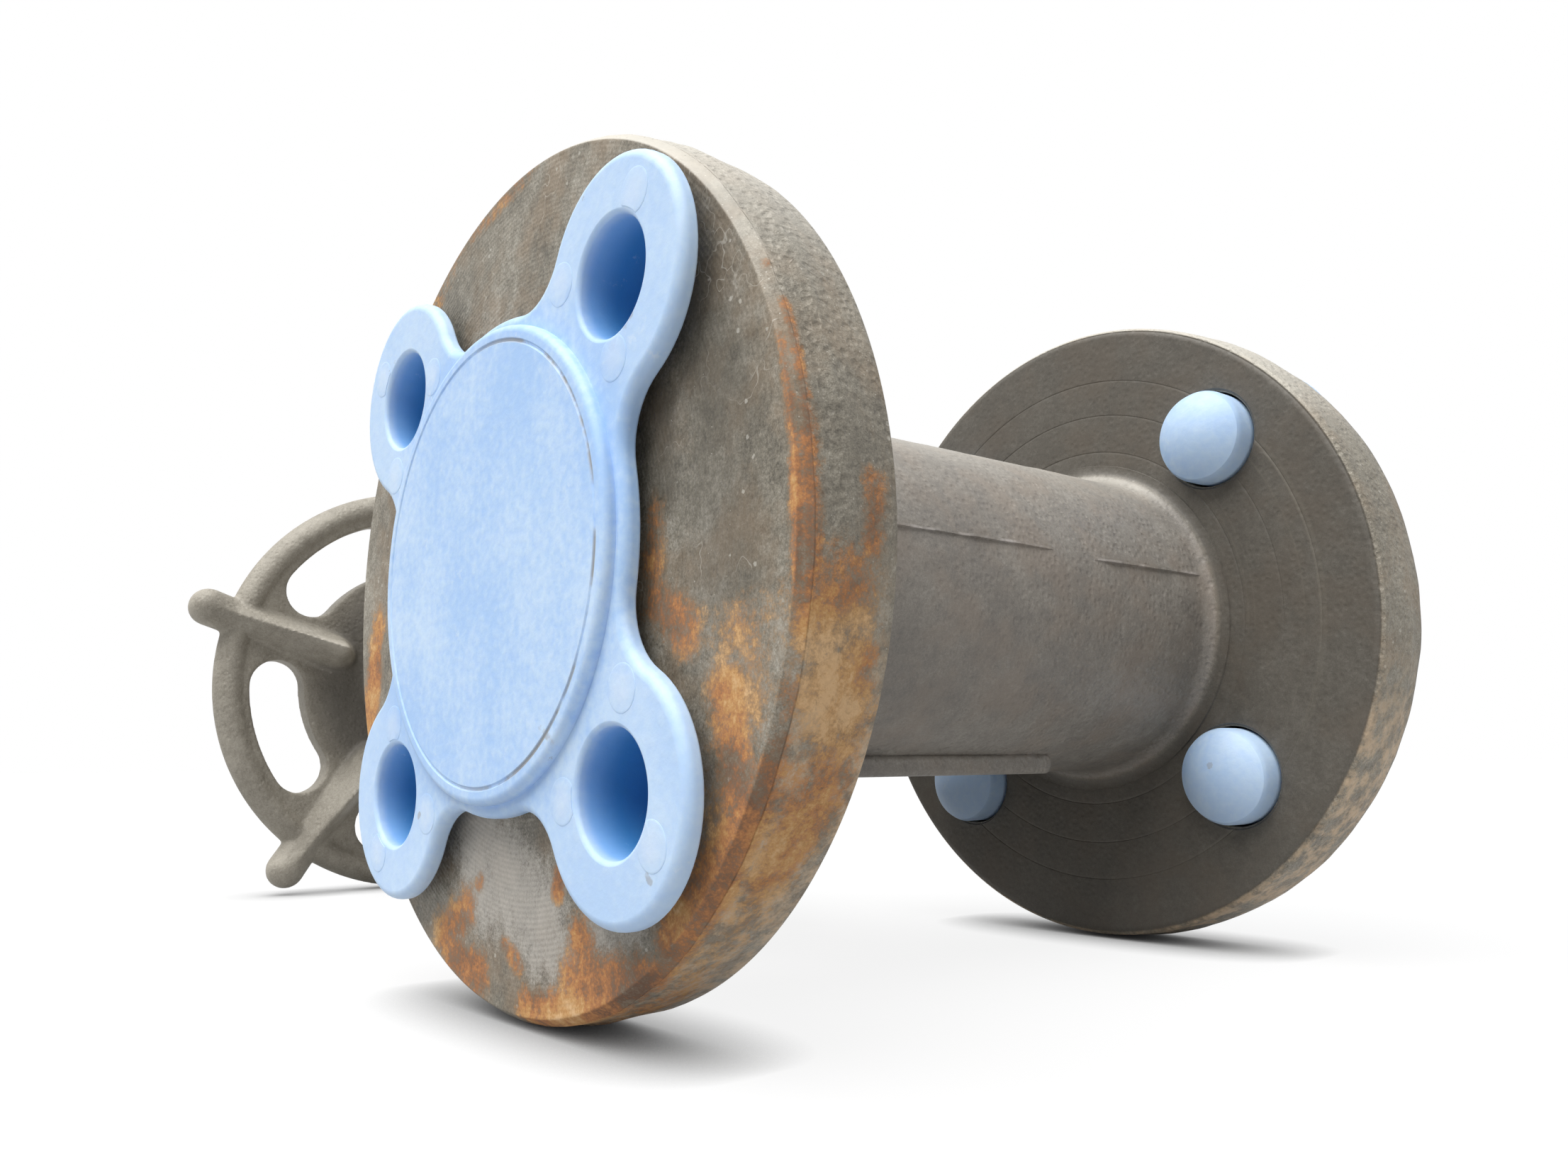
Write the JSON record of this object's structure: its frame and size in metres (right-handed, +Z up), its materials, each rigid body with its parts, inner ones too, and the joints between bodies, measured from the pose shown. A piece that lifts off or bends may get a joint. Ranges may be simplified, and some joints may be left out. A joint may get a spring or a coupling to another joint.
{
  "type": "flanged gate valve",
  "caption": "Flanged gate valve with outside screw and yoke, rising stem, lugged handwheel and push-in plastic flange covers.",
  "frame": {"origin": "middle of the underside of the bounding box, on the floor that the valve lies on", "axes": "+X along the pipe from inlet to outlet, +Y along the floor from the pipe towards the handwheel, +Z up"},
  "size_m": [0.1348, 0.2522, 0.1103],
  "materials": {
    "forged_steel": "forged, dark oxide with rust",
    "seat_alloy": "ground",
    "graphite": "matt graphite",
    "plated_steel": "dull plated",
    "cast_wheel": "as cast, matt",
    "stem_nut_bronze": "turned",
    "stem_steel": "turned, bright",
    "blue_polyethylene": "semi-matt moulded"
  },
  "bodies": {
    "valve": {"valve_body": "forged_steel", "bonnet_yoke": "forged_steel", "gland_flange": "forged_steel", "sleeve_retainer": "forged_steel", "inlet_seat_ring": "seat_alloy", "outlet_seat_ring": "seat_alloy", "bonnet_gasket": "graphite", "packing_ring_1": "graphite", "packing_ring_2": "graphite", "packing_ring_3": "graphite", "packing_ring_4": "graphite", "packing_ring_5": "graphite", "bonnet_screw_1": "plated_steel", "bonnet_screw_2": "plated_steel", "bonnet_screw_3": "plated_steel", "bonnet_screw_4": "plated_steel", "gland_follower": "plated_steel", "gland_stud_1": "plated_steel", "gland_stud_2": "plated_steel", "gland_nut_1": "plated_steel", "gland_nut_2": "plated_steel"},
    "wheel": {"handwheel": "cast_wheel", "yoke_sleeve": "stem_nut_bronze", "wheel_nut": "cast_wheel"},
    "stem": {"stem": "stem_steel", "wedge_disc": "stem_steel"},
    "inlet_cover": {"inlet_flange_cover": "blue_polyethylene"},
    "outlet_cover": {"outlet_flange_cover": "blue_polyethylene"}
  },
  "joints": [
    {"name": "wheel_turn", "type": "hinge", "parent": "valve", "child": "wheel", "pos_m": [0, -0.07209, 0.054], "axis": [0, 0.9998, -0.0185], "range_deg": [0, 2609]},
    {"name": "stem_rise", "type": "slide", "parent": "valve", "child": "stem", "axis": [0, 0.9998, -0.0185], "range_m": [0, 0.029]},
    {"name": "inlet_cover_pull", "type": "slide", "parent": "valve", "child": "inlet_cover", "axis": [-1, 0, 0], "range_m": [0, 0.06]},
    {"name": "outlet_cover_pull", "type": "slide", "parent": "valve", "child": "outlet_cover", "axis": [1, 0, 0], "range_m": [0, 0.06]}
  ],
  "couplings": [
    {"joint": "stem_rise", "follows": "wheel_turn", "m_per_rad": 0.00063662}
  ]
}
